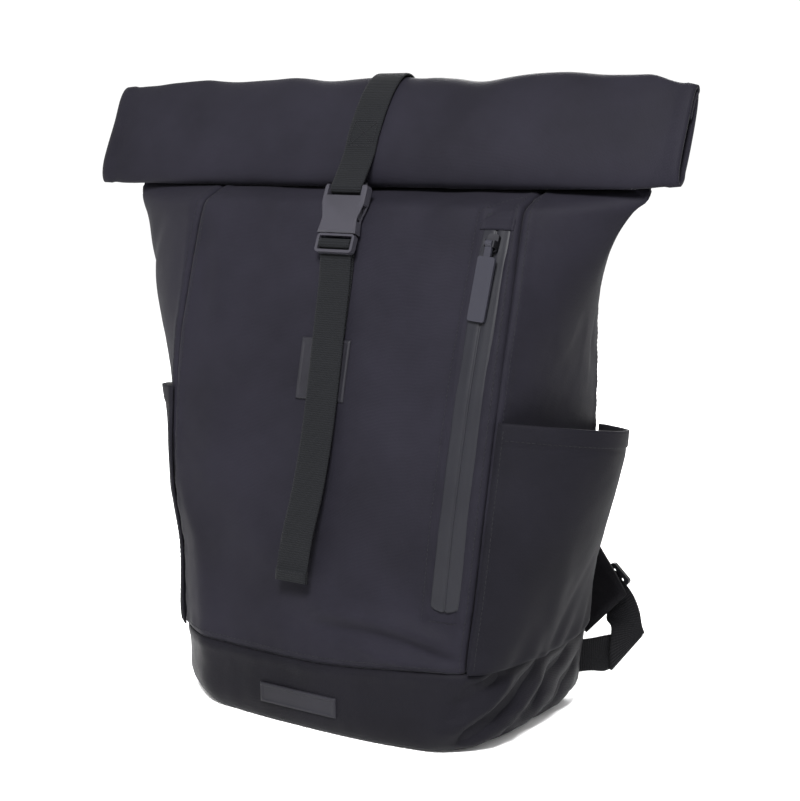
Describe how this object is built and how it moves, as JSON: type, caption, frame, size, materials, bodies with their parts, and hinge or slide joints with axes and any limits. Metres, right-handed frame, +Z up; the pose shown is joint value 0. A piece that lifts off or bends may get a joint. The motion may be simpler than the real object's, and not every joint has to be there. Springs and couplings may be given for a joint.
{
  "type": "rolltop backpack",
  "caption": "Soft cloth backpack with a rolled top held by a buckled strap, bottle pockets at the sides, a front zip, and padded shoulder straps behind.",
  "frame": {"origin": "on the ground under the middle of the flat base", "axes": "+Z up, -Y out of the pack's front, +X to the right seen from the front"},
  "size_m": [0.454, 0.227, 0.4393],
  "materials": {
    "body_cloth": "matte coated weave",
    "boot_cloth": "matte coated weave",
    "pocket_cloth": "matte coated weave",
    "zip_tape": "satin laminate",
    "webbing": "ribbed weave",
    "strap_padding": "matte",
    "label": "matte",
    "buckle_plastic": "fine satin",
    "puller_rubber": "satin"
  },
  "bodies": {
    "pack": {"front_panel": "body_cloth", "side_panel_right": "body_cloth", "side_panel_left": "body_cloth", "back_panel": "body_cloth", "base_boot": "boot_cloth", "side_pocket_right": "pocket_cloth", "side_pocket_left": "pocket_cloth", "roll_top": "body_cloth", "buckle_socket": "buckle_plastic", "buckle_plug": "buckle_plastic", "closure_strap_upper": "webbing", "closure_strap_lower": "webbing", "front_label": "label", "base_label": "label", "zip_tape": "zip_tape", "zip_slider": "buckle_plastic", "shoulder_strap_right": "strap_padding", "shoulder_strap_left": "strap_padding", "ladder_lock_right": "buckle_plastic", "ladder_lock_left": "buckle_plastic", "strap_webbing_right": "webbing", "strap_webbing_left": "webbing"},
    "puller": {"zip_puller": "puller_rubber"}
  },
  "joints": [
    {"name": "puller_hinge", "type": "hinge", "parent": "pack", "child": "puller", "pos_m": [0.11532, -0.04472, 0.32949], "axis": [-0.9969, 0.0215, 0.0755], "range_deg": [0, 150]}
  ]
}
